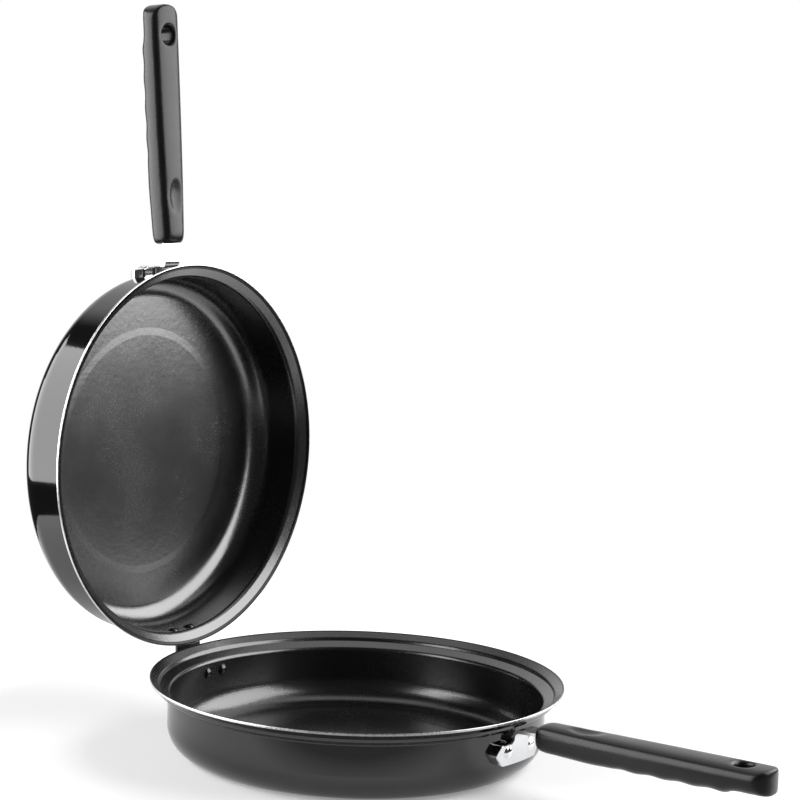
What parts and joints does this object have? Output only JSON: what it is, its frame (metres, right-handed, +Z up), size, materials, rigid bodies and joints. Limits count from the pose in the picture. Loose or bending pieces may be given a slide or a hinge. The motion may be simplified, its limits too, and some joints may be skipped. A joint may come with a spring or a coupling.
{
  "type": "double sided flip pan",
  "caption": "Hinged double frying pan with nesting rims, riveted brackets and moulded grips, drawn open at a right angle.",
  "frame": {"origin": "centre of the lower pan's flat base, on the surface it stands on", "axes": "+Z up; +X from the pan's centre to the lower handle; the hinge pin runs along Y behind the pan"},
  "size_m": [0.4809, 0.26, 0.4636],
  "materials": {
    "pan_enamel": "glossy black enamel outside and satin dark non-stick coating inside, over aluminium",
    "polished_steel": "polished",
    "rivet_metal": "bright",
    "grip_moulding": "satin black phenolic moulding",
    "fastener_steel": "plain steel",
    "leaf_enamel": "black enamel over steel"
  },
  "bodies": {
    "lower_half": {"lower_pan": "pan_enamel", "lower_handle_bracket": "polished_steel", "lower_handle_rivet_left": "rivet_metal", "lower_handle_rivet_right": "rivet_metal", "lower_handle_grip": "grip_moulding", "lower_handle_screw": "fastener_steel", "lower_handle_washer": "fastener_steel", "lower_hinge_leaf": "leaf_enamel", "lower_hinge_rivet_left": "leaf_enamel", "lower_hinge_rivet_right": "leaf_enamel", "hinge_pin": "fastener_steel"},
    "upper_half": {"upper_pan": "pan_enamel", "upper_handle_bracket": "polished_steel", "upper_handle_rivet_left": "rivet_metal", "upper_handle_rivet_right": "rivet_metal", "upper_handle_grip": "grip_moulding", "upper_handle_screw": "fastener_steel", "upper_handle_washer": "fastener_steel", "upper_hinge_leaf": "leaf_enamel", "upper_hinge_rivet_left": "leaf_enamel", "upper_hinge_rivet_right": "leaf_enamel"}
  },
  "joints": [
    {"name": "flip_hinge", "type": "hinge", "parent": "lower_half", "child": "upper_half", "pos_m": [-0.1319, 0, 0.0394], "axis": [0, 1, 0], "range_deg": [0, 92]}
  ]
}
